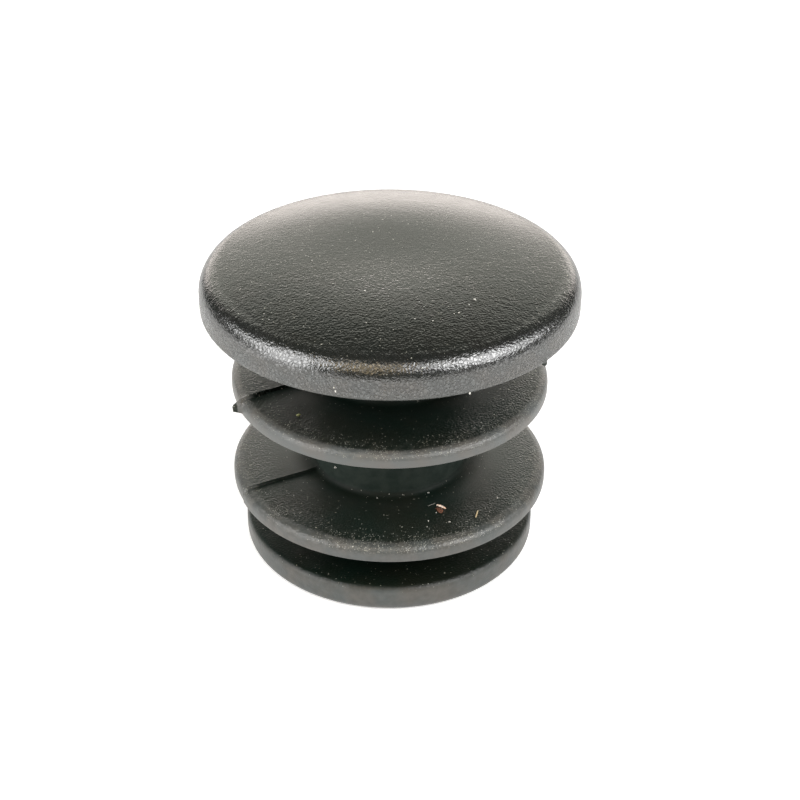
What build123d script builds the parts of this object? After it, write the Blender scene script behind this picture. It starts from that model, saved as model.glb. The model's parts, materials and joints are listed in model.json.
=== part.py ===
from build123d import *
import os
from math import radians, tan

# Cap for the open upper end of a round tube, moulded in one piece.
# A domed head covers the tube's end. The round stem below it carries two thin
# flexible fins, which grip the bore, and a thicker disc that leads the cap in.
# Z is the tube's axis and Z = 0 is the bottom of the lead-in disc, on which the cap
# stands with its head up. Sizes are in millimetres, angles in degrees.

# Tube that the cap closes
tube_outside_diameter = 25.0
tube_bore_diameter = 21.0

# Head, flush with the outside of the tube
head_corner_height = 2.4
head_upper_edge_radius = 1.4
head_lower_edge_radius = 0.3
dome_rise = 0.9
sink_diameter = 8.4
sink_depth = 0.04

# Stem, cored out from below
shank_length = 18.08
stem_diameter = 10.5
stem_fillet_radius = 0.45
core_mouth_diameter = 7.0
core_depth = 13.0
core_draft_angle = 0.75
core_end_radius = 1.0
core_mouth_radius = 0.3

# Upper fin: its drop is from the head's seat to the sharp lower edge of the rim
upper_fin_squeeze = 0.17
upper_fin_drop = 6.07
upper_fin_rim_height = 0.91
upper_fin_top_slope = 4.5

# Lower fin, a little wider than the upper one
lower_fin_squeeze = 0.34
lower_fin_drop = 13.32
lower_fin_rim_height = 1.0
lower_fin_top_slope = 2.7

# Both fins
fin_edge_radius = 0.56
fin_underside_slope = 1.2

# Lead-in disc, which goes into the bore with clearance
disc_clearance = 0.41
disc_thickness = 1.94
disc_upper_edge_radius = 0.5
disc_lower_edge_radius = 0.6
disc_top_slope = 1.2

# Parting plane of the two mould halves that form the shank. It stands at this angle
# from the X axis, and the half behind it was moulded higher than the front half.
parting_angle = 24.0
parting_step = 0.22

# Torn flag of flash on the rim of the upper fin, in the parting plane
flash_reach = 0.65
flash_height = 0.85
flash_thickness = 0.18

# Two sizes that differ by less than this are taken as the same
same_size = 0.001

head_radius = tube_outside_diameter / 2
stem_radius = stem_diameter / 2
upper_fin_radius = tube_bore_diameter / 2 + upper_fin_squeeze
lower_fin_radius = tube_bore_diameter / 2 + lower_fin_squeeze
disc_radius = tube_bore_diameter / 2 - disc_clearance
seat_height = shank_length


def rise(run, slope):
    """Height gained over a run at a slope."""
    return run * tan(radians(slope))


def round_corner(section, corner, radius):
    """The section with its corner at this place rounded."""
    x, y = corner
    return fillet(section.vertices().sort_by_distance((x, y, 0))[0], radius)


def head():
    """Head: flat seat, rounded side, and a dome that sinks a little over the stem."""
    corner = seat_height + head_corner_height
    crown = corner + dome_rise
    sink_radius = sink_diameter / 2
    dome = TangentArc((sink_radius, crown), (head_radius, corner), tangent=(1, 0))
    sink = Spline(
        (0, crown - sink_depth),
        (sink_radius, crown),
        tangents=((1, 0), (1, 0)),
    )
    sides = Polyline(
        (head_radius, corner),
        (head_radius, seat_height),
        (0, seat_height),
        (0, crown - sink_depth),
    )
    section = make_face([sink, dome, sides])
    section = round_corner(section, (head_radius, corner), head_upper_edge_radius)
    section = round_corner(section, (head_radius, seat_height), head_lower_edge_radius)
    return revolve(Plane.XZ * section, Axis.Z)


def fin_corners(radius, bottom, rim_height, top_slope):
    """Corners of a fin's half section: root, rim and root, from below upwards."""
    width = radius - stem_radius
    return [
        (stem_radius, bottom - rise(width, fin_underside_slope)),
        (radius, bottom),
        (radius, bottom + rim_height),
        (stem_radius, bottom + rim_height + rise(width, top_slope)),
    ]


def shank_half(lift):
    """One mould half of the shank, with its fins and disc top raised by lift."""
    disc_corners = [
        (disc_radius, 0),
        (disc_radius, disc_thickness + lift),
        (
            stem_radius,
            disc_thickness + lift + rise(disc_radius - stem_radius, disc_top_slope),
        ),
    ]
    lower_fin = fin_corners(
        lower_fin_radius,
        seat_height - lower_fin_drop + lift,
        lower_fin_rim_height,
        lower_fin_top_slope,
    )
    upper_fin = fin_corners(
        upper_fin_radius,
        seat_height - upper_fin_drop + lift,
        upper_fin_rim_height,
        upper_fin_top_slope,
    )
    outline = Polyline(
        (0, 0),
        *disc_corners,
        *lower_fin,
        *upper_fin,
        (stem_radius, seat_height),
        (0, seat_height),
        close=True,
    )
    section = make_face(outline)
    section = round_corner(section, disc_corners[0], disc_lower_edge_radius)
    section = round_corner(section, disc_corners[1], disc_upper_edge_radius)
    section = round_corner(section, disc_corners[2], stem_fillet_radius)
    for root_below, _, rim_top, root_above in (lower_fin, upper_fin):
        section = round_corner(section, root_below, stem_fillet_radius)
        section = round_corner(section, rim_top, fin_edge_radius)
        section = round_corner(section, root_above, stem_fillet_radius)
    return revolve(Plane.XZ * section, Axis.Z, revolution_arc=180)


def core():
    """Blind cored hole in the stem, which narrows upwards by its draft."""
    mouth_radius = core_mouth_diameter / 2
    end_radius = mouth_radius - rise(core_depth, core_draft_angle)
    outline = Polyline(
        (0, 0),
        (mouth_radius, 0),
        (end_radius, core_depth),
        (0, core_depth),
        close=True,
    )
    section = round_corner(make_face(outline), (end_radius, core_depth), core_end_radius)
    return revolve(Plane.XZ * section, Axis.Z)


def flash_flag():
    """Thin three-cornered flag of flash that stands out of the upper fin's rim."""
    root = upper_fin_radius - fin_edge_radius
    bottom = seat_height - upper_fin_drop
    outline = Polyline(
        (root, bottom),
        (upper_fin_radius, bottom),
        (upper_fin_radius + flash_reach, bottom + flash_height / 2),
        (upper_fin_radius, bottom + flash_height),
        (root, bottom + flash_height),
        close=True,
    )
    flag = extrude(Plane.XZ * make_face(outline), flash_thickness / 2, both=True)
    return Rot(0, 0, parting_angle + 180) * flag


def circles_at(part, height, radius):
    """The circular edges about the axis at this height and of this radius."""
    circles = part.edges().filter_by(GeomType.CIRCLE)
    level = circles.filter_by(lambda edge: abs(edge.arc_center.Z - height) < same_size)
    return level.filter_by(lambda edge: abs(edge.radius - radius) < same_size)


def tube_cap():
    rear_half = Rot(0, 0, parting_angle) * shank_half(parting_step)
    front_half = Rot(0, 0, parting_angle + 180) * shank_half(0)
    cap = head() + rear_half + front_half
    cap = fillet(circles_at(cap, seat_height, stem_radius), stem_fillet_radius)
    cap -= core()
    core_mouth = circles_at(cap, 0, core_mouth_diameter / 2)
    return fillet(core_mouth, core_mouth_radius) + flash_flag()


os.makedirs("parts", exist_ok=True)
export_step(tube_cap(), "parts/tube_cap.step")
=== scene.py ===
import json
import math

import bmesh
import bpy
from mathutils import Matrix, Vector, noise


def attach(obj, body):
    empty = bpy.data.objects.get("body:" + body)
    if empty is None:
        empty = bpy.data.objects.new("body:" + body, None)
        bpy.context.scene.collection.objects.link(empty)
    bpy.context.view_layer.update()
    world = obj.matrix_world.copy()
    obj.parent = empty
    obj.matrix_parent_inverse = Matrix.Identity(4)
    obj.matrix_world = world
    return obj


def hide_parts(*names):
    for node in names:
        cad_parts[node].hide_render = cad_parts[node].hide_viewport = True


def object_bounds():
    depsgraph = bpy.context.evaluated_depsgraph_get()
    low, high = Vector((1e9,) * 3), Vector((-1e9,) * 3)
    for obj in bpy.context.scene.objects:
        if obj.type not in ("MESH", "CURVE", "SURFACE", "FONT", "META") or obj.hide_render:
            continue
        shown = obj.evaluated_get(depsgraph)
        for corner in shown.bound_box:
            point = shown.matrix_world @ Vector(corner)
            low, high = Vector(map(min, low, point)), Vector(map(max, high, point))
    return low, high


# Looks of a moulded black cap for a round tube, photographed from above on white.
# Lengths are in millimetres and angles in degrees until a mesh or lamp is made.

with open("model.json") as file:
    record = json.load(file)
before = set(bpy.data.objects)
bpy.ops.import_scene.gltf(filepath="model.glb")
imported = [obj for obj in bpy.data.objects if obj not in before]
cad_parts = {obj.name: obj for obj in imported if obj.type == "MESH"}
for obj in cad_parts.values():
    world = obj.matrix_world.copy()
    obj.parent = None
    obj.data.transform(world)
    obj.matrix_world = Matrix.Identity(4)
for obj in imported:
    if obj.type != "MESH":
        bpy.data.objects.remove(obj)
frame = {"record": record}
cad_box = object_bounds()

MM = 0.001
mounts = {mount["name"]: mount for mount in frame["record"]["mounts"]}

# Head, from the frame's own box and the seat on the tube's end
HEAD_RADIUS = cad_box[1].x / MM
CROWN = cad_box[1].z / MM
SEAT = mounts["tube_seat"]["pos_m"][2] / MM
DOME_RISE = 0.9
SINK_RADIUS = 4.2
SINK_DEPTH = 0.04
UPPER_EDGE_RADIUS = 1.4
LOWER_EDGE_RADIUS = 0.3

# Shank. A fin's lift is its share of the parting step, which fades out towards the disc.
STEM_RADIUS = 5.25
STEM_FILLET = 0.45
UPPER_FIN = {"radius": 10.67, "bottom": SEAT - 6.07, "rim": 0.91, "slope": 4.5, "lift": 1.0}
LOWER_FIN = {
    "radius": mounts["lower_fin_rim"]["dims"]["r_mm"],
    "bottom": SEAT - 13.32,
    "rim": 1.0,
    "slope": 2.7,
    "lift": 0.8,
}
FIN_EDGE_RADIUS = 0.56
FIN_UNDERSIDE_SLOPE = 1.2
FIN_SHARP_EDGE = 0.05
DISC_RADIUS = 10.09
DISC_THICKNESS = 1.94
DISC_TOP_SLOPE = 1.2
DISC_UPPER_EDGE = 0.5
DISC_LOWER_EDGE = 0.6
CORE_MOUTH_RADIUS = 3.5
CORE_DEPTH = 13.0
CORE_DRAFT = 0.75
CORE_END_RADIUS = 1.0
CORE_MOUTH_EDGE = 0.3

# Parting line of the shank's mould, with the flash that it left
PARTING_ANGLE = 24.0
PARTING_STEP = 0.22
RIDGE_HEIGHT = 0.09
FLAG_REACH = 0.65
FLAG_HEIGHT = 0.85
FLAG_TIP = 0.4
BURR_ANGLE = -39.5
BURR_SIZE = 0.25

# Moulded surface. The head's side is painted grey up to this height, as painted light and
# reflection from the white sheet below.
HEAD_SIDE_TOP = SEAT + 1.38
# The photograph goes out of focus towards the head's rear, where the grain fades between
# these two places on the Y axis.
GRAIN_PITCH = 0.2
GRAIN_HEIGHT = 0.013
GRAIN_FADE = (-8.0, 6.0)
PEBBLE_SIZE = 0.25
SHANK_WAVINESS = 0.012
SHANK_WAVE_LENGTH = 2.6

# Mesh density: cells across the dome, longest steps along a rounded edge and a straight one
DOME_CELLS = 192
ARC_STEP = 0.12
STRAIGHT_STEP = 1.1
SHANK_COLUMNS_PER_HALF = 116

# Camera, fitted to the ellipses of the head and fins in the 800 pixel photograph
IMAGE_SIZE = 800
SENSOR = 36.0
FOCAL_PIXELS = 1618
CAMERA_ELEVATION = 32.242
CAMERA_DISTANCE = 110.3
CAMERA_ROLL = 0.25
TARGET_BELOW_SEAT = 6.83
SHIFT_PIXELS = (10.3, -12.04)


def point_at(radius, angle, height):
    """Point on a circle about the tube's axis."""
    turn = math.radians(angle)
    return Vector((radius * math.cos(turn), radius * math.sin(turn), height))


def smooth(value, low, high):
    """0 below low, 1 above high and a soft step between them."""
    share = min(1.0, max(0.0, (value - low) / (high - low)))
    return share * share * (3 - 2 * share)


# Shape


class Skin:
    """Points and faces of the closed outer skin, in millimetres."""

    def __init__(self):
        self.points = []
        self.faces = []

    def add(self, points):
        """Adds points and returns their numbers."""
        first = len(self.points)
        self.points.extend(points)
        return list(range(first, len(self.points)))

    def band(self, upper, lower):
        """Four-sided faces between two rings with the same columns."""
        for k, here in enumerate(upper):
            after = (k + 1) % len(upper)
            self.faces.append((here, lower[k], lower[after], upper[after]))

    def bridge(self, outer, inner):
        """Triangles between two flat rings, each a list of (angle, point number)."""
        i = j = 0
        while i < len(outer) or j < len(inner):
            outer_next = outer[(i + 1) % len(outer)][0] + 360 * ((i + 1) // len(outer))
            inner_next = inner[(j + 1) % len(inner)][0] + 360 * ((j + 1) // len(inner))
            a, b = outer[i % len(outer)][1], inner[j % len(inner)][1]
            if j >= len(inner) or (i < len(outer) and outer_next <= inner_next):
                i += 1
                self.faces.append((a, b, outer[i % len(outer)][1]))
            else:
                j += 1
                self.faces.append((a, b, inner[j % len(inner)][1]))

    def close(self, ring, centre):
        """Fan from a ring to one point."""
        middle = self.add([centre])[0]
        for k, here in enumerate(ring):
            self.faces.append((here, middle, ring[(k + 1) % len(ring)]))


def mesh_piece(name, points, faces, material):
    """Smooth-shaded mesh object from points in millimetres."""
    mesh = bpy.data.meshes.new(name)
    mesh.from_pydata([point * MM for point in points], [], faces)
    shape = bmesh.new()
    shape.from_mesh(mesh)
    bmesh.ops.recalc_face_normals(shape, faces=shape.faces)
    shape.to_mesh(mesh)
    shape.free()
    mesh.shade_smooth()
    mesh.materials.append(material)
    piece = bpy.data.objects.new(name, mesh)
    bpy.context.scene.collection.objects.link(piece)
    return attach(piece, "root")


def grain_height(point):
    """Relief of the head's moulded grain, on a slight unevenness."""
    fine = noise.noise(point / GRAIN_PITCH)
    coarse = noise.noise(point / (3 * GRAIN_PITCH) + Vector((7, 3, 5)))
    return GRAIN_HEIGHT * (fine + 0.4 * coarse)


def dome_height(radius):
    """Height of the head's top, which sinks a little over the stem."""
    if radius < SINK_RADIUS:
        return CROWN - SINK_DEPTH * (1 - smooth(radius, 0, SINK_RADIUS))
    run = HEAD_RADIUS - SINK_RADIUS
    dome_radius = (run**2 + DOME_RISE**2) / (2 * DOME_RISE)
    return CROWN - dome_radius + math.sqrt(dome_radius**2 - (radius - SINK_RADIUS) ** 2)


def dome_edge():
    """Centre (radius, height) of the head's upper rounding, and the angle where the dome ends."""
    run = HEAD_RADIUS - SINK_RADIUS
    dome_radius = (run**2 + DOME_RISE**2) / (2 * DOME_RISE)
    centre_radius = HEAD_RADIUS - UPPER_EDGE_RADIUS
    reach = centre_radius - SINK_RADIUS
    height = math.sqrt((dome_radius - UPPER_EDGE_RADIUS) ** 2 - reach**2)
    return centre_radius, CROWN - dome_radius + height, math.atan2(height, reach)


def arc(centre, radius, start, end):
    """Points (radius, height) and normals along a rounding, both ends included."""
    steps = max(3, math.ceil(radius * abs(end - start) / ARC_STEP))
    turns = [start + (end - start) * k / steps for k in range(steps + 1)]
    return [
        (
            centre[0] + radius * math.cos(turn),
            centre[1] + radius * math.sin(turn),
            Vector((math.cos(turn), math.sin(turn))),
        )
        for turn in turns
    ]


def head_side():
    """Profile (radius, height, normal) from the dome's edge round to the flat seat."""
    centre_radius, centre_height, start = dome_edge()
    low = SEAT + LOWER_EDGE_RADIUS
    steps = math.ceil((centre_height - low) / ARC_STEP)
    side = [
        (HEAD_RADIUS, centre_height + (low - centre_height) * k / steps, Vector((1, 0)))
        for k in range(1, steps)
    ]
    upper = arc((centre_radius, centre_height), UPPER_EDGE_RADIUS, start, 0)
    lower = arc((HEAD_RADIUS - LOWER_EDGE_RADIUS, low), LOWER_EDGE_RADIUS, 0, -math.pi / 2)
    seat_edge = HEAD_RADIUS - 1.5 * LOWER_EDGE_RADIUS
    return upper + side + lower + [(seat_edge, SEAT, Vector((0, -1)))]


def head_point(radius, height, normal, angle):
    """Point of the head with its grain, and with the burr on its lower edge."""
    point = point_at(radius, angle, height)
    outward = point_at(normal.x, angle, normal.y)
    grained = smooth(height, SEAT, SEAT + 2 * LOWER_EDGE_RADIUS)
    grained *= 1 - 0.7 * smooth(point.y, *GRAIN_FADE)
    point += outward * grain_height(point) * grained
    if radius > HEAD_RADIUS - LOWER_EDGE_RADIUS and height < SEAT + 2 * LOWER_EDGE_RADIUS:
        away = math.radians((angle - BURR_ANGLE + 180) % 360 - 180) * radius
        swell = BURR_SIZE * math.exp(-((away / (0.4 * BURR_SIZE)) ** 2))
        low = 1 - smooth(height, SEAT, SEAT + 2 * LOWER_EDGE_RADIUS)
        point += (outward * 0.6 + Vector((0, 0, -0.6))) * swell * low
    return point


def disc_place(column, row, half):
    """(share of the radius, angle) of a square grid's point when the square becomes a disc."""
    x, y = column - half, row - half
    share = max(abs(x), abs(y))
    if share == 0:
        return 0.0, 0.0
    if abs(x) >= abs(y):
        angle = 45 * y / x + (180 if x < 0 else 0)
    else:
        angle = 90 - 45 * x / y + (180 if y < 0 else 0)
    return share / half, angle % 360


def add_dome(skin, edge_radius):
    """Even grid over the dome. Returns its rim as a list of (angle, point number)."""
    half = DOME_CELLS // 2
    numbers = {}
    rim = []
    step = edge_radius / half
    for column in range(DOME_CELLS + 1):
        for row in range(DOME_CELLS + 1):
            share, angle = disc_place(column, row, half)
            radius = edge_radius * share
            slope = (dome_height(radius + step) - dome_height(radius)) / step
            normal = Vector((-slope, 1)).normalized()
            number = skin.add([head_point(radius, dome_height(radius), normal, angle)])[0]
            numbers[column, row] = number
            if share == 1:
                rim.append((angle, number))
    for column in range(DOME_CELLS):
        for row in range(DOME_CELLS):
            corners = ((0, 0), (1, 0), (1, 1), (0, 1))
            skin.faces.append(tuple(numbers[column + a, row + b] for a, b in corners))
    return sorted(rim)


def add_head(skin):
    """Dome, rounded side and seat. Returns the seat's outer ring as (angle, point number)."""
    profile = head_side()
    rim = add_dome(skin, profile[0][0])
    angles = [angle for angle, _ in rim]
    ring = [number for _, number in rim]
    for radius, height, normal in profile[1:]:
        below = skin.add([head_point(radius, height, normal, angle) for angle in angles])
        skin.band(ring, below)
        ring = below
    return list(zip(angles, ring))


def rounded_path(corners):
    """Points (radius, height, lift) along corners (radius, height, rounding, lift)."""
    path = []
    for k, (x, y, rounding, lift) in enumerate(corners):
        corner = Vector((x, y))
        if rounding == 0:
            path.append((corner.x, corner.y, lift))
            continue
        back = (Vector(corners[k - 1][:2]) - corner).normalized()
        ahead = (Vector(corners[k + 1][:2]) - corner).normalized()
        half_angle = back.angle(ahead) / 2
        centre = corner + (back + ahead).normalized() * rounding / math.sin(half_angle)
        start = corner + back * rounding / math.tan(half_angle) - centre
        end = corner + ahead * rounding / math.tan(half_angle) - centre
        steps = max(3, math.ceil(rounding * start.angle(end) / ARC_STEP))
        turn = start.angle_signed(end)
        for step in range(steps + 1):
            spot = centre + Matrix.Rotation(-turn * step / steps, 2) @ start
            path.append((spot.x, spot.y, lift))
    return path


def fin_corners(fin):
    """Corners (radius, height, rounding, lift) of a fin from its upper root to its lower root."""
    width = fin["radius"] - STEM_RADIUS
    top = fin["bottom"] + fin["rim"]
    root_above = top + width * math.tan(math.radians(fin["slope"]))
    root_below = fin["bottom"] - width * math.tan(math.radians(FIN_UNDERSIDE_SLOPE))
    return [
        (STEM_RADIUS, root_above, STEM_FILLET, fin["lift"]),
        (fin["radius"], top, FIN_EDGE_RADIUS, fin["lift"]),
        (fin["radius"], fin["bottom"] + 0.3 * fin["rim"], 0, fin["lift"]),
        (fin["radius"], fin["bottom"], FIN_SHARP_EDGE, fin["lift"]),
        (STEM_RADIUS, root_below, STEM_FILLET, fin["lift"]),
    ]


def shank_path():
    """Profile of the shank from the seat down, under the disc and up into the cored hole."""
    disc_rise = (DISC_RADIUS - STEM_RADIUS) * math.tan(math.radians(DISC_TOP_SLOPE))
    core_end = CORE_MOUTH_RADIUS - CORE_DEPTH * math.tan(math.radians(CORE_DRAFT))
    return rounded_path(
        [
            (STEM_RADIUS + 2 * STEM_FILLET, SEAT, 0, 0),
            (STEM_RADIUS, SEAT, STEM_FILLET, 0),
            *fin_corners(UPPER_FIN),
            *fin_corners(LOWER_FIN),
            (STEM_RADIUS, DISC_THICKNESS + disc_rise, STEM_FILLET, 0.5),
            (DISC_RADIUS, DISC_THICKNESS, DISC_UPPER_EDGE, 0),
            (DISC_RADIUS, 0, DISC_LOWER_EDGE, 0),
            (CORE_MOUTH_RADIUS, 0, CORE_MOUTH_EDGE, 0),
            (core_end, CORE_DEPTH, CORE_END_RADIUS, 0),
            (0.2, CORE_DEPTH, 0, 0),
        ]
    )


def subdivided(path, longest):
    """The path with its long straight stretches cut into even steps."""
    fine = [path[0]]
    for before, after in zip(path, path[1:]):
        length = math.dist(before[:2], after[:2])
        steps = max(1, math.ceil(length / longest))
        for k in range(1, steps + 1):
            fine.append(tuple(a + (b - a) * k / steps for a, b in zip(before, after)))
    return fine


def shank_columns():
    """(angle, lift, distance from the parting line) of each column, once round."""
    near_line = (0.15, 0.45, 0.8)
    columns = []
    for start, lift in ((PARTING_ANGLE, 1), (PARTING_ANGLE + 180, 0)):
        wide = 180 - 2 * near_line[-1]
        even = [
            near_line[-1] + wide * k / SHANK_COLUMNS_PER_HALF
            for k in range(1, SHANK_COLUMNS_PER_HALF)
        ]
        far_line = [180 - offset for offset in reversed(near_line)]
        for offset in (*near_line, *even, *far_line):
            columns.append(((start + offset) % 360, lift, min(offset, 180 - offset)))
    return sorted(columns)


def flag_reach(height):
    """How far the torn flag of flash stands out of the upper fin's rim at this height."""
    tip = UPPER_FIN["bottom"] + FLAG_TIP * FLAG_HEIGHT
    run = (1 - FLAG_TIP) * FLAG_HEIGHT if height > tip else FLAG_TIP * FLAG_HEIGHT
    torn = 1 + 0.2 * noise.noise(Vector((0, 0, height / 0.11)))
    return FLAG_REACH * torn * max(0, 1 - abs(height - tip) / run)


def shank_point(spot, column):
    """Point of the shank: the rear mould half is lifted, and flash stands on its edge."""
    radius, height, lift = spot
    angle, half_lift, from_line = column
    rear_edge = from_line < 0.2 and half_lift == 1
    point = point_at(radius, angle, height)
    if rear_edge:
        torn = noise.noise(Vector((radius / 0.16, angle, height / 0.4)))
        point.z += RIDGE_HEIGHT * max(0, torn + 0.25) * lift
    point.z += PARTING_STEP * half_lift * lift
    point.z += SHANK_WAVINESS * lift * noise.noise(point / SHANK_WAVE_LENGTH)
    on_left = abs(angle - PARTING_ANGLE - 180) < 1
    if on_left and from_line < 0.5 and radius > UPPER_FIN["radius"] - FIN_EDGE_RADIUS:
        reach = flag_reach(height)
        if reach > 0:
            point += point_at(UPPER_FIN["radius"] + reach - radius, angle, 0)
    return point


def cap_skin(material):
    """The whole moulding as one closed mesh."""
    skin = Skin()
    seat_ring = add_head(skin)
    columns = shank_columns()
    angles = [angle for angle, _, _ in columns]
    path = subdivided(shank_path(), STRAIGHT_STEP)
    rings = [skin.add([shank_point(spot, column) for column in columns]) for spot in path]
    skin.bridge(seat_ring, list(zip(angles, rings[0])))
    for upper, lower in zip(rings, rings[1:]):
        skin.band(upper, lower)
    skin.close(rings[-1], Vector((0, 0, CORE_DEPTH)))
    piece = mesh_piece("cap_skin", skin.points, skin.faces, material)
    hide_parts("tube_cap")
    return piece


# Materials


def new_material(name):
    """Material with its node tree and its Principled shader."""
    material = bpy.data.materials.new(name)
    material.use_nodes = True
    tree = material.node_tree
    return material, tree, tree.nodes["Principled BSDF"]


def add_node(tree, kind, inputs=(), **settings):
    """Node with its settings, and its inputs set to values or linked to sockets."""
    made = tree.nodes.new(kind)
    for name, value in settings.items():
        setattr(made, name, value)
    for name, value in dict(inputs).items():
        if isinstance(value, bpy.types.NodeSocket):
            tree.links.new(value, made.inputs[name])
        else:
            made.inputs[name].default_value = value
    return made


def maths(tree, operation, *values):
    """Result of a Math node."""
    made = add_node(tree, "ShaderNodeMath", enumerate(values), operation=operation)
    return made.outputs[0]


def step_between(tree, value, low, high):
    """0 below low, 1 above high and a soft step between them, as a socket."""
    inputs = {"Value": value, "From Min": low, "From Max": high}
    made = add_node(tree, "ShaderNodeMapRange", inputs, interpolation_type="SMOOTHSTEP")
    return made.outputs["Result"]


def blend_colours(tree, factor, first, second):
    """Mix of two colours by a socket."""
    made = add_node(tree, "ShaderNodeMix", {"Factor": factor}, data_type="RGBA")
    for socket, colour in zip((made.inputs[6], made.inputs[7]), (first, second)):
        if isinstance(colour, bpy.types.NodeSocket):
            tree.links.new(colour, socket)
        else:
            socket.default_value = (*colour, 1)
    return made.outputs[2]


def place_in_millimetres(tree):
    """Position on the part, one unit to the millimetre."""
    coordinates = add_node(tree, "ShaderNodeTexCoord")
    inputs = {0: coordinates.outputs["Object"], "Scale": 1 / MM}
    return add_node(tree, "ShaderNodeVectorMath", inputs, operation="SCALE").outputs[0]


def cloud(tree, place, size, detail=2.0):
    """Noise with features of about this size in millimetres."""
    inputs = {"Vector": place, "Scale": 1 / size, "Detail": detail}
    return add_node(tree, "ShaderNodeTexNoise", inputs).outputs["Fac"]


def specks(tree, place, spacing, size, share):
    """Mask of round specks on a share of the cells of a scattered pattern."""
    inputs = {"Vector": place, "Scale": 1 / spacing}
    cells = add_node(tree, "ShaderNodeTexVoronoi", inputs)
    chance = add_node(tree, "ShaderNodeSeparateColor", {0: cells.outputs["Color"]})
    chosen = maths(tree, "LESS_THAN", chance.outputs[0], share)
    size_share = maths(tree, "MULTIPLY_ADD", chance.outputs[1], size, size * 0.5)
    dot = maths(tree, "LESS_THAN", cells.outputs["Distance"], size_share)
    return maths(tree, "MULTIPLY", dot, chosen)


def pebbles(tree, place, size):
    """Height of 0 to 1 of irregular pebbles of about this size, with grooves between them."""
    wander = add_node(tree, "ShaderNodeTexNoise", {"Vector": place, "Scale": 0.8 / size})
    inputs = {0: wander.outputs["Color"], 1: (1.4 * size,) * 3, 2: place}
    bent = add_node(tree, "ShaderNodeVectorMath", inputs, operation="MULTIPLY_ADD").outputs[0]
    inputs = {"Vector": bent, "Scale": 1 / size}
    cells = add_node(tree, "ShaderNodeTexVoronoi", inputs, feature="DISTANCE_TO_EDGE")
    return step_between(tree, cells.outputs["Distance"], 0.0, 0.28)


def bump(tree, height, depth, normal=None):
    """Normal disturbed by a height of 0 to 1 that stands for a depth in millimetres."""
    inputs = {"Height": height, "Distance": depth * MM, "Strength": 1.0}
    made = add_node(tree, "ShaderNodeBump", inputs)
    if normal is not None:
        tree.links.new(normal, made.inputs["Normal"])
    return made.outputs["Normal"]


# Zones of the plastic's pattern: ranges of radius, height or slant over which each starts or ends
STEM_END = (5.6, 7.2)
RIM_START = (9.6, 10.1)
PAINTED_LIGHT_TOP_START = (9.95, 10.25)
DUST_START = (8.6, 10.3)
GRAINED_TOP_START = (6.5, 9.5)
FLAG_START = (LOWER_FIN["radius"] + 0.04, LOWER_FIN["radius"] + 0.16)
ROUNDING_START = (HEAD_RADIUS - 1.8, HEAD_RADIUS - 1.0)
HEAD_START = (SEAT - 0.02, SEAT + 0.25)
HEAD_SIDE_END = (HEAD_SIDE_TOP - 0.2, HEAD_SIDE_TOP + 0.3)
DISC_END = (2.2, 2.8)
FINS_START = (2.5, 3.5)
UPPER_RIM_START = (8.0, 11.0)
LEVEL_ON_FINS = (0.78, 0.99)
LEVEL_ON_DISC = (0.45, 0.97)
FACING_UP = (0.1, 0.6)

# Parting line, painted near black as the shadow of the mould's step: half its width, the radius
# where it ends and the height over which it deepens
PARTING_WIDTH = (0.0, 0.11)
PARTING_END = (9.3, 10.3)
PARTING_RISE = (2.5, 11.0)


def inverse(tree, value):
    """1 less a socket."""
    return maths(tree, "SUBTRACT", 1.0, value)


def level_tops(tree, place, radius, height, upward):
    """1 on the fins' and disc's black tops, down to 0 on their rims, where grey is painted as light
    and reflection.
    """
    slant = maths(tree, "ABSOLUTE", upward)
    scatter = maths(tree, "MULTIPLY_ADD", cloud(tree, place, 0.07, 1.0), 0.6, -0.3)
    crown = step_between(tree, maths(tree, "ADD", radius, scatter), *PAINTED_LIGHT_TOP_START)
    on_fin = maths(tree, "MULTIPLY_ADD", crown, -0.85, 1.0)
    on_fin = maths(tree, "MINIMUM", on_fin, step_between(tree, slant, *LEVEL_ON_FINS))
    on_disc = step_between(tree, slant, *LEVEL_ON_DISC)
    inputs = {"Factor": step_between(tree, height, *FINS_START), 2: on_disc, 3: on_fin}
    return add_node(tree, "ShaderNodeMix", inputs).outputs[0]


def parting_line_shadow(tree, place, axes, radius, height):
    """Ragged painted shadow of the mould's step along its parting plane, which ends before the
    rims.
    """
    turn = math.radians(PARTING_ANGLE)
    aside = maths(tree, "MULTIPLY", axes.outputs[1], math.cos(turn))
    aside = maths(tree, "MULTIPLY_ADD", axes.outputs[0], -math.sin(turn), aside)
    ragged = maths(tree, "MULTIPLY_ADD", cloud(tree, place, 0.2, 1.0), 0.24, -0.12)
    aside = maths(tree, "ADD", maths(tree, "ABSOLUTE", aside), ragged)
    line = inverse(tree, step_between(tree, aside, *PARTING_WIDTH))
    line = maths(tree, "MULTIPLY", line, step_between(tree, height, *PARTING_RISE))
    return maths(tree, "MULTIPLY", line, inverse(tree, step_between(tree, radius, *PARTING_END)))


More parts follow.
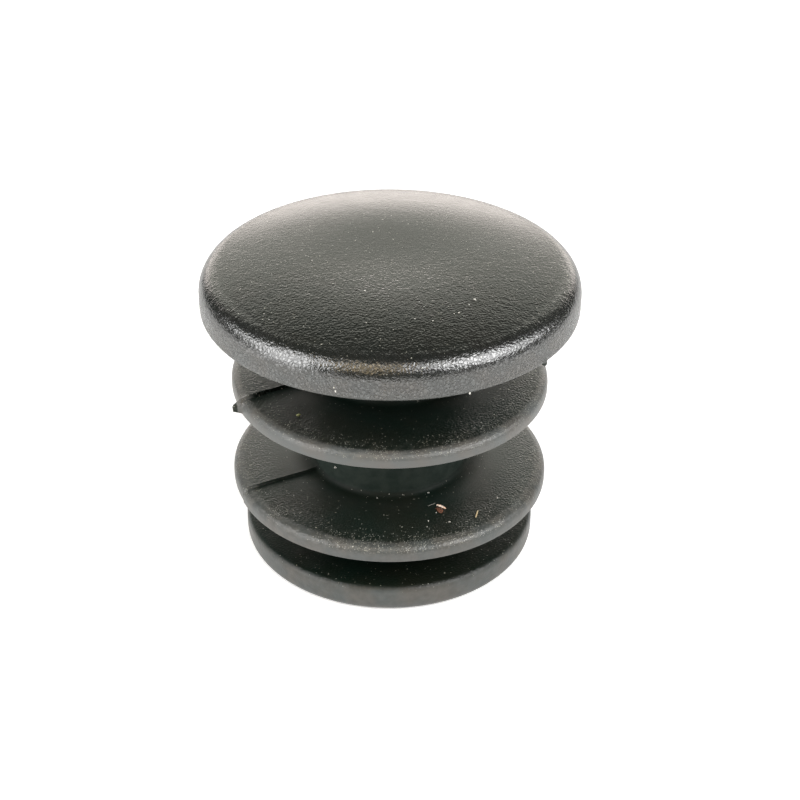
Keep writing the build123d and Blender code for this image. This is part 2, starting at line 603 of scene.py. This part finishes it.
def plastic_masks(tree):
    """Sockets that the plastic's colour, gloss and relief share, by name."""
    place = place_in_millimetres(tree)
    axes = add_node(tree, "ShaderNodeSeparateXYZ", {0: place})
    flat = add_node(tree, "ShaderNodeCombineXYZ", {0: axes.outputs[0], 1: axes.outputs[1]})
    from_axis = add_node(tree, "ShaderNodeVectorMath", {0: flat.outputs[0]}, operation="LENGTH")
    radius = from_axis.outputs["Value"]
    height = axes.outputs[2]
    geometry = add_node(tree, "ShaderNodeNewGeometry")
    upward = add_node(tree, "ShaderNodeSeparateXYZ", {0: geometry.outputs["Normal"]}).outputs[2]
    head = step_between(tree, height, *HEAD_START)
    shank = inverse(tree, head)
    below_edge = inverse(tree, step_between(tree, height, *HEAD_SIDE_END))
    rounding = step_between(tree, radius, *ROUNDING_START)
    flag = step_between(tree, radius, *FLAG_START)
    outer = maths(tree, "MULTIPLY", step_between(tree, radius, *RIM_START), shank)
    outer = maths(tree, "MULTIPLY", outer, inverse(tree, flag))
    steep = inverse(tree, level_tops(tree, place, radius, height, upward))
    facing_up = step_between(tree, upward, *FACING_UP)
    parting = parting_line_shadow(tree, place, axes, radius, height)
    parting = maths(tree, "MULTIPLY", maths(tree, "MULTIPLY", parting, facing_up), shank)
    inner = inverse(tree, step_between(tree, radius, *STEM_END))
    return {
        "place": place,
        "grain": cloud(tree, place, 0.15, 0.6),
        "pebbles": pebbles(tree, place, PEBBLE_SIZE),
        "rounding": maths(tree, "MULTIPLY", rounding, head),
        "forward": inverse(tree, step_between(tree, axes.outputs[1], *GRAIN_FADE)),
        "radius": radius,
        "height": height,
        "facing_up": facing_up,
        "head": head,
        "shank": shank,
        "head_side": maths(tree, "MULTIPLY", head, below_edge),
        "parting": parting,
        "flag": maths(tree, "MULTIPLY", flag, shank),
        "above_disc": step_between(tree, height, *DISC_END),
        "rim": maths(tree, "MULTIPLY", outer, steep),
        "inner": maths(tree, "MULTIPLY", inner, shank),
    }


def plastic_colour(tree, masks):
    """Deep black with a green cast and settled dust; painted light greys the sides and rims and
    lightens the stem, painted shadow darkens the parting line.
    """
    place = masks["place"]
    drift = step_between(tree, cloud(tree, place, 3.5, 4.0), 0.3, 0.7)
    head = blend_colours(tree, drift, (0.0080, 0.0100, 0.0080), (0.0110, 0.0115, 0.0085))
    shank = blend_colours(tree, drift, (0.0030, 0.0100, 0.0065), (0.0080, 0.0105, 0.0065))
    black = blend_colours(tree, masks["head"], shank, head)
    # Painted light: the stem's upright face is a lighter green than the fins' tops, standing for
    # light that reaches it through the gaps, on the plastic's own green cast.
    stem = maths(tree, "MULTIPLY", masks["inner"], inverse(tree, masks["facing_up"]))
    stem_drift = step_between(tree, cloud(tree, place, 0.9, 5.0), 0.3, 0.7)
    stem_lit_green = blend_colours(tree, stem_drift, (0.0145, 0.0240, 0.0190), (0.0270, 0.0370, 0.0305))
    black = blend_colours(tree, stem, black, stem_lit_green)

    # Painted light on the head's side and the rims: grey for the white sheet's light and
    # reflection, lighter on pebble tops as painted glints, with random streaks and tint on the rims
    # and the upper rim lighter
    painted_glint_peaks = maths(tree, "MULTIPLY_ADD", masks["pebbles"], 0.48, 0.32)
    head_side_painted_light = maths(tree, "MULTIPLY", masks["head_side"], painted_glint_peaks)
    streaks = step_between(tree, cloud(tree, place, 0.5, 4.0), 0.25, 0.75)
    upper_rim = step_between(tree, masks["height"], *UPPER_RIM_START)
    rim_light_share = maths(tree, "MULTIPLY_ADD", upper_rim, 0.34, 0.64)
    rim_light_share = maths(tree, "MULTIPLY_ADD", streaks, 0.22, rim_light_share)
    rim_painted_light = maths(tree, "MULTIPLY", masks["rim"], rim_light_share)
    painted_light_share = maths(tree, "MAXIMUM", head_side_painted_light, rim_painted_light)
    tinge = step_between(tree, cloud(tree, place, 1.8, 2.0), 0.3, 0.7)
    sheet_lit_grey = blend_colours(tree, tinge, (0.104, 0.112, 0.109), (0.120, 0.114, 0.103))
    colour = blend_colours(tree, painted_light_share, black, sheet_lit_grey)
    # Painted shadow of the parting step, near black.
    colour = blend_colours(tree, masks["parting"], colour, (0.003, 0.004, 0.003))
    colour = blend_colours(tree, masks["flag"], colour, (0.022, 0.028, 0.022))

    # Dust, gathered in drifts towards the fins' edges and scattered thinly elsewhere. The fine
    # specks gathered at the edges also stand in for glints of the grain there, as painted
    # highlights.
    drifts = step_between(tree, cloud(tree, place, 1.6, 3.0), 0.35, 0.65)
    edge = step_between(tree, masks["radius"], *DUST_START)
    edge = maths(tree, "MULTIPLY", edge, masks["above_disc"])
    gathered = maths(tree, "MULTIPLY", maths(tree, "MULTIPLY", drifts, edge), masks["shank"])
    share = maths(tree, "MULTIPLY_ADD", gathered, 0.62, 0.03)
    fine_dust_and_glints = specks(tree, place, 0.09, 0.3, share)
    coarse_dust = specks(tree, place, 0.6, 0.06, 0.4)
    dust = maths(tree, "MAXIMUM", maths(tree, "MULTIPLY", fine_dust_and_glints, 0.6), coarse_dust)
    film = step_between(tree, cloud(tree, place, 0.5, 6.0), 0.42, 0.72)
    film = maths(tree, "MULTIPLY", maths(tree, "MULTIPLY", film, masks["shank"]), edge)
    dust = maths(tree, "MAXIMUM", dust, maths(tree, "MULTIPLY", film, 0.06))
    dust = maths(tree, "MULTIPLY", dust, masks["facing_up"])
    mixed = cloud(tree, place, 0.8)
    dust_colour = blend_colours(tree, mixed, (0.34, 0.30, 0.20), (0.46, 0.49, 0.48))
    return blend_colours(tree, dust, colour, dust_colour)


def plastic_gloss(tree, masks):
    """Roughness: the head has the most sheen, the stem and its fillets the least."""
    sheen = cloud(tree, masks["place"], 1.3, 3.0)
    head = maths(tree, "MULTIPLY_ADD", sheen, 0.10, 0.19)
    shank = maths(tree, "MULTIPLY_ADD", sheen, 0.14, 0.30)
    shank = maths(tree, "MULTIPLY_ADD", masks["inner"], 0.2, shank)
    inputs = {"Factor": masks["head"], 2: shank, 3: head}
    return add_node(tree, "ShaderNodeMix", inputs).outputs[0]


def plastic_relief(tree, masks):
    """Grain and pebbles on the head, grain on the fins' outer tops, turned lines on the shank."""
    place = masks["place"]
    head_share = maths(tree, "MULTIPLY_ADD", masks["forward"], 0.82, 0.18)
    outer_share = maths(tree, "MULTIPLY", head_share, 0.7)
    outer_share = maths(tree, "MAXIMUM", outer_share, masks["shank"])
    outer_top = step_between(tree, masks["radius"], *GRAINED_TOP_START)
    outer_top = maths(tree, "MULTIPLY", outer_top, masks["facing_up"])
    outer_top = maths(tree, "MULTIPLY", outer_top, outer_share)
    smoother = maths(tree, "MULTIPLY_ADD", masks["rounding"], -0.85, 1.0)
    head_share = maths(tree, "MULTIPLY", head_share, smoother)
    grained = maths(tree, "MULTIPLY", masks["head"], head_share)
    grained = maths(tree, "MAXIMUM", grained, outer_top)
    grained = maths(tree, "MAXIMUM", grained, maths(tree, "MULTIPLY", masks["rim"], 0.35))
    relief = bump(tree, maths(tree, "MULTIPLY", masks["grain"], grained), 0.034)
    pebbled = maths(tree, "MULTIPLY_ADD", masks["head_side"], 4.5, masks["rounding"])
    relief = bump(tree, maths(tree, "MULTIPLY", masks["pebbles"], pebbled), 0.006, relief)
    inputs = {0: masks["radius"], 2: masks["height"]}
    turned_place = add_node(tree, "ShaderNodeCombineXYZ", inputs).outputs[0]
    turned = cloud(tree, turned_place, 0.22, 3.0)
    relief = bump(tree, maths(tree, "MULTIPLY", turned, masks["shank"]), 0.008, relief)
    haze = cloud(tree, place, 0.08, 2.0)
    return bump(tree, maths(tree, "MULTIPLY", haze, masks["shank"]), 0.006, relief)


def moulded_plastic():
    """Satin black polyethylene, with its gloss set by zone."""
    material, tree, shader = new_material("moulded_black_plastic")
    masks = plastic_masks(tree)
    tree.links.new(plastic_colour(tree, masks), shader.inputs["Base Color"])
    tree.links.new(plastic_gloss(tree, masks), shader.inputs["Roughness"])
    tree.links.new(plastic_relief(tree, masks), shader.inputs["Normal"])
    shader.inputs["IOR"].default_value = 1.9

    # The front of the head's rounding is polished, with dull grooves between its pebbles
    polish = maths(tree, "SUBTRACT", masks["rounding"], masks["head_side"])
    polish = maths(tree, "MULTIPLY", maths(tree, "MAXIMUM", polish, 0.0), masks["forward"])
    grooves = maths(tree, "MULTIPLY", inverse(tree, masks["pebbles"]), polish)
    shine = maths(tree, "MULTIPLY_ADD", masks["inner"], -0.33, 0.42)
    shine = maths(tree, "MULTIPLY_ADD", polish, 0.58, shine)
    shine = maths(tree, "MULTIPLY_ADD", grooves, -0.5, shine)

    # The rims, torn flash, the parting line and the whole disc are dull
    dull = maths(tree, "MULTIPLY_ADD", masks["above_disc"], -0.65, 0.65)
    dull = maths(tree, "MAXIMUM", dull, maths(tree, "MULTIPLY", masks["rim"], 0.4))
    dull = maths(tree, "MAXIMUM", dull, maths(tree, "MULTIPLY", masks["flag"], 0.9))
    dull = maths(tree, "MAXIMUM", dull, masks["parting"])
    shine = maths(tree, "MULTIPLY", shine, inverse(tree, dull))
    tree.links.new(shine, shader.inputs["Specular IOR Level"])
    return material


def debris(name, first, second):
    """Dry, matt stray matter in two mottled colours."""
    material, tree, shader = new_material(name)
    place = place_in_millimetres(tree)
    mottle = step_between(tree, cloud(tree, place, 0.12, 3.0), 0.35, 0.65)
    tree.links.new(blend_colours(tree, mottle, first, second), shader.inputs["Base Color"])
    rough = maths(tree, "MULTIPLY_ADD", mottle, 0.2, 0.6)
    tree.links.new(rough, shader.inputs["Roughness"])
    tree.links.new(bump(tree, mottle, 0.02), shader.inputs["Normal"])
    return material


# Stray matter

# Crumbs on the head's top: (x, y, size)
HEAD_CRUMBS = [
    (5.26, -5.55, 0.15),
    (4.22, -7.09, 0.12),
    (3.91, -7.22, 0.09),
    (4.87, -6.16, 0.09),
    (-1.57, -4.73, 0.11),
    (-0.07, -4.59, 0.08),
    (2.61, -8.05, 0.09),
    (-1.45, -8.33, 0.08),
    (1.52, -7.89, 0.07),
    (2.09, -6.57, 0.08),
    (-5.04, -0.75, 0.09),
    (-3.59, -3.82, 0.08),
    (-7.39, -7.51, 0.08),
    (-7.74, -6.84, 0.08),
]

# Crumbs on the lower fin: (x, y, size)
FIN_CRUMBS = [
    (2.64, -4.92, 0.13),
    (7.27, -5.24, 0.12),
    (2.59, -7.90, 0.12),
    (3.97, -7.97, 0.13),
    (3.12, -7.01, 0.08),
    (-0.81, -5.54, 0.08),
]

# Crumbs on upright faces: (angle, height above the seat, size)
SIDE_CRUMBS = [(-105.3, 0.80, 0.13), (-104.9, 0.52, 0.15), (-67.4, 0.10, 0.14)]
STEM_CRUMB = (-133.5, 7.3, 0.15)
UPPER_FIN_CRUMB = (-5.87, -6.28, 0.24)

# Wood fleck, fibre and splinter on the lower fin: places (x, y). The fleck's pale core is a painted
# highlight over the wood's orange, and its dark brown base is the wood painted in shade.
FLECK_HIGHLIGHT = [(3.14, -6.34), (3.44, -6.40), (3.76, -6.72)]
FLECK_SHADED_BASE = (3.36, -6.70)
FLECK_TURN = -46
FIBRE = [(2.58, -6.39), (2.85, -6.20), (3.07, -6.07)]
SPLINTER = [(5.72, -7.49), (5.79, -7.10), (5.90, -6.72)]


def fin_top(fin, x, y, clearance=0.0):
    """Point on a fin's top, or this far above it."""
    fall = (fin["radius"] - math.hypot(x, y)) * math.tan(math.radians(fin["slope"]))
    return Vector((x, y, fin["bottom"] + fin["rim"] + fall + clearance))


def crumb(place, size, turn, seed):
    """Points and faces of an irregular crumb with sizes along, across and up."""
    shape = bmesh.new()
    bmesh.ops.create_icosphere(shape, subdivisions=3, radius=0.5)
    shape.verts.index_update()
    spin = Matrix.Rotation(math.radians(turn), 3, "Z")
    points = []
    for corner in shape.verts:
        lump = 1 + 0.9 * noise.noise(corner.co * 2.6 + Vector((seed, 0, 0)))
        stretched = Vector([a * b for a, b in zip(corner.co, size)])
        points.append(place + spin @ (stretched * lump))
    faces = [[corner.index for corner in face.verts] for face in shape.faces]
    shape.free()
    return points, faces


def strand(path, width):
    """Points and faces of a thin strand that tapers at both ends along a curve of three points."""
    start, middle, end = path
    steps, sides = 16, 8
    points = []
    for k in range(steps + 1):
        along = k / steps
        bent = start.lerp(middle, along).lerp(middle.lerp(end, along), along)
        reach = width / 2 * (0.25 + 0.75 * math.sin(math.pi * along) ** 0.5)
        across = (end - start).cross(Vector((0, 0, 1))).normalized()
        for side in range(sides):
            turn = 2 * math.pi * side / sides
            edge = across * math.cos(turn) + Vector((0, 0, math.sin(turn)))
            rough = 1 + 0.5 * noise.noise(Vector((k / 3, side, width / 0.01)))
            points.append(bent + edge * reach * rough)
    faces = []
    for k in range(steps):
        for side in range(sides):
            after = (side + 1) % sides
            here, there = k * sides, (k + 1) * sides
            faces.append([here + side, here + after, there + after, there + side])
    faces.append(list(range(sides)))
    faces.append([steps * sides + side for side in range(sides)])
    return points, faces


def add_stray(name, shapes, material):
    """One piece from several small shapes."""
    points = []
    faces = []
    for more_points, more_faces in shapes:
        faces += [[len(points) + number for number in face] for face in more_faces]
        points += more_points
    mesh_piece(name, points, faces, material)


def add_debris():
    """Crumbs, a wood fleck, a fibre and a splinter where the photograph shows them."""
    pale = debris("pale_crumbs", (0.80, 0.79, 0.74), (0.55, 0.53, 0.47))
    crumbs = []
    for k, (x, y, size) in enumerate(HEAD_CRUMBS):
        place = Vector((x, y, dome_height(math.hypot(x, y)) + 0.25 * size))
        crumbs.append(crumb(place, (size, 0.7 * size, 0.6 * size), 47 * k, 3 * k))
    for k, (angle, height, size) in enumerate(SIDE_CRUMBS):
        place = point_at(HEAD_RADIUS - 0.1 * size, angle, SEAT + height)
        crumbs.append(crumb(place, (0.7 * size, 0.7 * size, size), angle, 3 * k + 70))
    add_stray("crumbs_on_head", crumbs, pale)
    crumbs = []
    for k, (x, y, size) in enumerate(FIN_CRUMBS):
        place = fin_top(LOWER_FIN, x, y, 0.25 * size)
        crumbs.append(crumb(place, (size, 0.7 * size, 0.6 * size), 61 * k, 3 * k + 50))
    angle, height, size = STEM_CRUMB
    crumbs.append(crumb(point_at(STEM_RADIUS + 0.2 * size, angle, height), (size,) * 3, 0, 90))
    add_stray("crumbs_on_shank", crumbs, pale)

    x, y, size = UPPER_FIN_CRUMB
    mossy = debris("mossy_crumb", (0.42, 0.44, 0.20), (0.20, 0.21, 0.09))
    shape = crumb(fin_top(UPPER_FIN, x, y, 0.05), (size, 0.7 * size, 0.4 * size), 20, 31)
    add_stray("mossy_crumb", [shape], mossy)

    # The fleck as a painted highlight strand and a painted shade blob.
    lit_fleck = debris("fleck_highlight", (1.0, 0.86, 0.74), (0.9, 0.52, 0.33))
    shaded_fleck = debris("fleck_shaded_base", (0.20, 0.075, 0.035), (0.07, 0.03, 0.018))
    path = [fin_top(LOWER_FIN, x, y, 0.12) for x, y in FLECK_HIGHLIGHT]
    add_stray("fleck_highlight", [strand(path, 0.15)], lit_fleck)
    shape = crumb(fin_top(LOWER_FIN, *FLECK_SHADED_BASE, 0.03), (0.56, 0.34, 0.12), FLECK_TURN, 17)
    add_stray("fleck_shaded_base", [shape], shaded_fleck)

    grey = debris("grey_fibre", (0.30, 0.29, 0.26), (0.14, 0.13, 0.12))
    path = [fin_top(LOWER_FIN, x, y, 0.05) for x, y in FIBRE]
    add_stray("fibre", [strand(path, 0.05)], grey)
    straw = debris("straw_splinter", (0.80, 0.68, 0.42), (0.62, 0.45, 0.24))
    path = [fin_top(LOWER_FIN, x, y, 0.06) for x, y in SPLINTER]
    add_stray("splinter", [strand(path, 0.09)], straw)


# Scene

# Glow of the light table under the white sheet, on the cap and as the camera sees it.
# Beyond the lamps' reach the sheet glows more, so that it stays white to its far edge.
TABLE_GLOW = 0.5
SEEN_GLOW = 0.45
FAR_GLOW = 1.0
GLOW_RISE = (60.0, 250.0)
FLOOR_GAP = 0.01
SHEET_HALF = 1500.0

# Strength of the room's own light, and how far the lamps stand from the cap
ROOM_LIGHT = 0.06
LAMP_DISTANCE = 400.0


def floor_material():
    """White sheet on a light table. The camera sees it as bright white with the cap's shadow."""
    material, tree, shader = new_material("white_sheet")
    place = place_in_millimetres(tree)
    camera_sees = add_node(tree, "ShaderNodeLightPath").outputs["Is Camera Ray"]
    paper = cloud(tree, place, 0.4, 4.0)
    mottled = blend_colours(tree, paper, (0.78, 0.78, 0.78), (0.82, 0.82, 0.82))
    colour = blend_colours(tree, camera_sees, mottled, (1.0, 1.0, 1.0))
    tree.links.new(colour, shader.inputs["Base Color"])
    shader.inputs["Emission Color"].default_value = (1, 1, 1, 1)
    from_cap = add_node(tree, "ShaderNodeVectorMath", {0: place}, operation="LENGTH")
    far = step_between(tree, from_cap.outputs["Value"], *GLOW_RISE)
    seen = maths(tree, "MULTIPLY_ADD", far, FAR_GLOW - SEEN_GLOW, SEEN_GLOW - TABLE_GLOW)
    glow = maths(tree, "MULTIPLY_ADD", camera_sees, seen, TABLE_GLOW)
    tree.links.new(glow, shader.inputs["Emission Strength"])
    shader.inputs["Roughness"].default_value = 0.9
    shader.inputs["Specular IOR Level"].default_value = 0.0
    tree.links.new(bump(tree, paper, 0.01), shader.inputs["Normal"])
    return material


def add_floor():
    """Flat white sheet under the cap."""
    corners = [(-1, -1), (1, -1), (1, 1), (-1, 1)]
    points = [Vector((x * SHEET_HALF, y * SHEET_HALF, -FLOOR_GAP)) * MM for x, y in corners]
    mesh = bpy.data.meshes.new("floor_sheet")
    mesh.from_pydata(points, [], [(0, 1, 2, 3)])
    mesh.materials.append(floor_material())
    floor = bpy.data.objects.new("floor_sheet", mesh)
    bpy.context.scene.collection.objects.link(floor)


def add_world():
    """Pale even surroundings, plain white where the camera sees them."""
    world = bpy.data.worlds.new("pale_room")
    world.use_nodes = True
    bpy.context.scene.world = world
    tree = world.node_tree
    sky = tree.nodes["Background"]
    camera_sees = add_node(tree, "ShaderNodeLightPath").outputs["Is Camera Ray"]
    strength = maths(tree, "MULTIPLY_ADD", camera_sees, 1 - ROOM_LIGHT, ROOM_LIGHT)
    tree.links.new(strength, sky.inputs["Strength"])
    sky.inputs["Color"].default_value = (1, 1, 1, 1)


def add_softbox(name, azimuth, elevation, width, height, radiance, colour=(1, 1, 1)):
    """Soft rectangular lamp that faces the cap. Azimuth is from +X, as the cap's angles are."""
    lamp = bpy.data.lights.new(name, "AREA")
    lamp.shape = "RECTANGLE"
    lamp.size = width * MM
    lamp.size_y = height * MM
    lamp.energy = radiance * math.pi * lamp.size * lamp.size_y
    lamp.color = colour
    aim = Vector((0, 0, CROWN / 2))
    rise = LAMP_DISTANCE * math.sin(math.radians(elevation))
    run = LAMP_DISTANCE * math.cos(math.radians(elevation))
    place = aim + point_at(run, azimuth, rise)
    softbox = bpy.data.objects.new(name, lamp)
    softbox.location = place * MM
    softbox.rotation_euler = (aim - place).to_track_quat("-Z", "Y").to_euler()
    softbox.visible_camera = False
    bpy.context.scene.collection.objects.link(softbox)


def add_lights():
    """Low wide light behind the cap, softboxes round its front and sides, a faint one above."""
    add_softbox("back_low", 90, 10, 620, 100, 3.7, (1.0, 0.925, 0.865))
    add_softbox("back_high", 90, 30, 560, 165, 0.95, (0.985, 1.0, 0.88))
    add_softbox("left_softbox", 209, 28, 230, 400, 4.3)
    add_softbox("left_side", 178, 27, 110, 110, 5.0)
    add_softbox("right_softbox", -30, 38, 230, 280, 5.7)
    add_softbox("right_side", 1, 26, 120, 100, 4.5)
    add_softbox("right_front", -65, 46, 90, 150, 3.8)
    add_softbox("warm_front", -104, 48, 120, 290, 1.9, (1.0, 0.78, 0.47))
    add_softbox("top_front", -90, 68, 620, 120, 0.4)


def add_camera():
    """Camera at the photograph's own place, with its slight roll and framing."""
    lens = bpy.data.cameras.new("photo_camera")
    lens.sensor_width = SENSOR
    lens.lens = SENSOR * FOCAL_PIXELS / IMAGE_SIZE
    lens.shift_x = SHIFT_PIXELS[0] / IMAGE_SIZE
    lens.shift_y = SHIFT_PIXELS[1] / IMAGE_SIZE
    lens.clip_start = 1 * MM
    lens.clip_end = 10000 * MM
    camera = bpy.data.objects.new("photo_camera", lens)
    elevation = math.radians(CAMERA_ELEVATION)
    target = Vector((0, 0, SEAT - TARGET_BELOW_SEAT))
    back = Vector((0, -math.cos(elevation), math.sin(elevation)))
    camera.location = (target + back * CAMERA_DISTANCE) * MM
    turn = (-back).to_track_quat("-Z", "Y").to_matrix()
    roll = Matrix.Rotation(math.radians(CAMERA_ROLL), 3, "Z")
    camera.rotation_euler = (turn @ roll).to_euler()
    bpy.context.scene.collection.objects.link(camera)
    bpy.context.scene.camera = camera


cap_skin(moulded_plastic())
add_debris()
add_floor()
add_world()
add_lights()
add_camera()
bpy.context.scene.view_settings.view_transform = "Standard"
